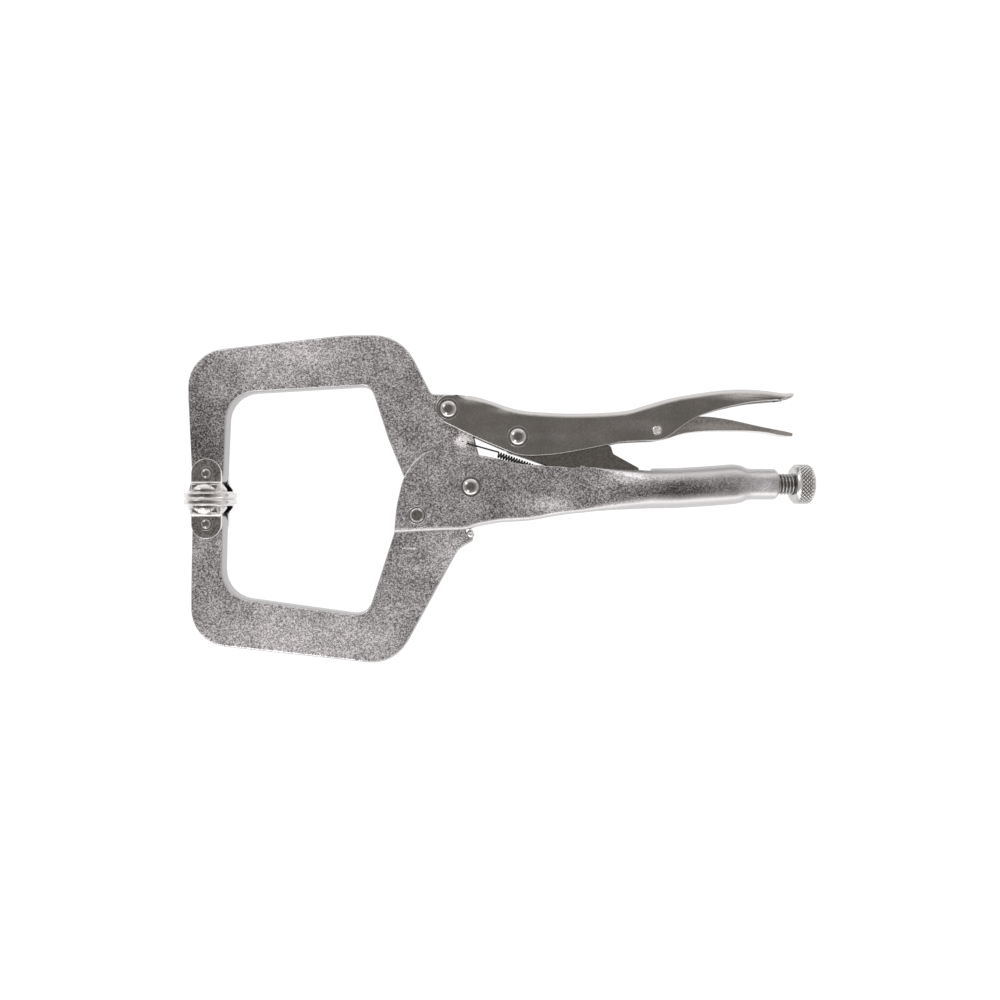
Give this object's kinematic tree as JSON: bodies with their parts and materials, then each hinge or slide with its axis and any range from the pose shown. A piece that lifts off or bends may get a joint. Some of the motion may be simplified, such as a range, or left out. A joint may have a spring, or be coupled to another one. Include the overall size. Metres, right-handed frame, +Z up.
{
  "type": "locking c-clamp pliers",
  "caption": "Locking C-clamp pliers with deep forged jaws, swivel pads, folded steel handles, toggle link, release lever, spring and knurled adjusting screw.",
  "frame": {"origin": "centre of the tool's footprint, on the surface it lies on", "axes": "+X from the jaws to the adjusting knob, +Y from the fixed handle to the lever, +Z up through the tool's thickness as it lies on its side"},
  "size_m": [0.2816, 0.146, 0.023],
  "materials": {
    "jaw_forging": "grainy satin nickel plate over forged steel",
    "handle_sheet": "satin nickel plate over pressed steel",
    "lever_sheet": "smooth nickel plate over pressed steel",
    "link_steel": "dull nickel plate over stamped steel",
    "rivet_bright": "polished",
    "pad_plate": "bright nickel plate over turned steel",
    "screw_plate": "bright plate over cut thread",
    "knob_plate": "bright plate over diamond knurl",
    "spring_wire": "drawn spring wire",
    "weld_metal": "plated weld bead"
  },
  "bodies": {
    "frame": {"fixed_handle": "handle_sheet", "fixed_jaw": "jaw_forging", "fixed_jaw_rivet": "rivet_bright", "weld_beads": "weld_metal", "jaw_pivot_rivet": "rivet_bright", "lower_pad_rivet": "rivet_bright", "jaw_spring": "spring_wire"},
    "upper_jaw": {"moving_jaw": "jaw_forging", "upper_pad_rivet": "rivet_bright"},
    "lever": {"lever_handle": "lever_sheet", "lever_pivot_rivet": "rivet_bright", "link_pivot_rivet": "rivet_bright", "release_pin": "rivet_bright"},
    "link": {"toggle_link": "link_steel"},
    "release": {"release_lever": "link_steel"},
    "top_pad": {"upper_pad": "pad_plate"},
    "bottom_pad": {"lower_pad": "pad_plate"},
    "screw": {"adjusting_screw": "screw_plate"},
    "knob": {"screw_knob": "knob_plate"}
  },
  "joints": [
    {"name": "jaw_pivot", "type": "hinge", "parent": "frame", "child": "upper_jaw", "pos_m": [-0.012, 0.00532, 0.0115], "axis": [0, 0, -1], "range_deg": [0, 26], "deforming": ["jaw_spring"]},
    {"name": "lever_pivot", "type": "hinge", "parent": "upper_jaw", "child": "lever", "pos_m": [-0.0219, 0.03982, 0.0115], "axis": [0, 0, 1], "range_deg": [0, 68]},
    {"name": "link_pivot", "type": "hinge", "parent": "lever", "child": "link", "pos_m": [0.0089, 0.02752, 0.0115], "axis": [0, 0, -1], "range_deg": [0, 74]},
    {"name": "upper_pad_swivel", "type": "hinge", "parent": "upper_jaw", "child": "top_pad", "pos_m": [-0.1293, 0.01116, 0.0115], "axis": [0, 0, 1], "range_deg": [-15, 15]},
    {"name": "lower_pad_swivel", "type": "hinge", "parent": "frame", "child": "bottom_pad", "pos_m": [-0.1293, -0.01114, 0.0115], "axis": [0, 0, -1], "range_deg": [-15, 15]},
    {"name": "release_pivot", "type": "hinge", "parent": "lever", "child": "release", "pos_m": [0.0704, 0.03032, 0.0115], "axis": [0, 0, 1], "range_deg": [0, 5]},
    {"name": "screw_travel", "type": "slide", "parent": "frame", "child": "screw", "axis": [1, 0, 0], "range_m": [0, 0.012]},
    {"name": "knob_spin", "type": "hinge", "parent": "screw", "child": "knob", "pos_m": [0.1323, 0.00656, 0.0115], "axis": [1, 0, 0], "range_deg": [0, 2880]}
  ],
  "couplings": [
    {"joint": "lever_pivot", "follows": "jaw_pivot", "ratio": 2.578},
    {"joint": "link_pivot", "follows": "jaw_pivot", "ratio": 2.822},
    {"joint": "upper_pad_swivel", "follows": "jaw_pivot", "ratio": 0.5},
    {"joint": "lower_pad_swivel", "follows": "jaw_pivot", "ratio": 0.5},
    {"joint": "knob_spin", "follows": "screw_travel", "rad_per_m": 4188.8}
  ]
}
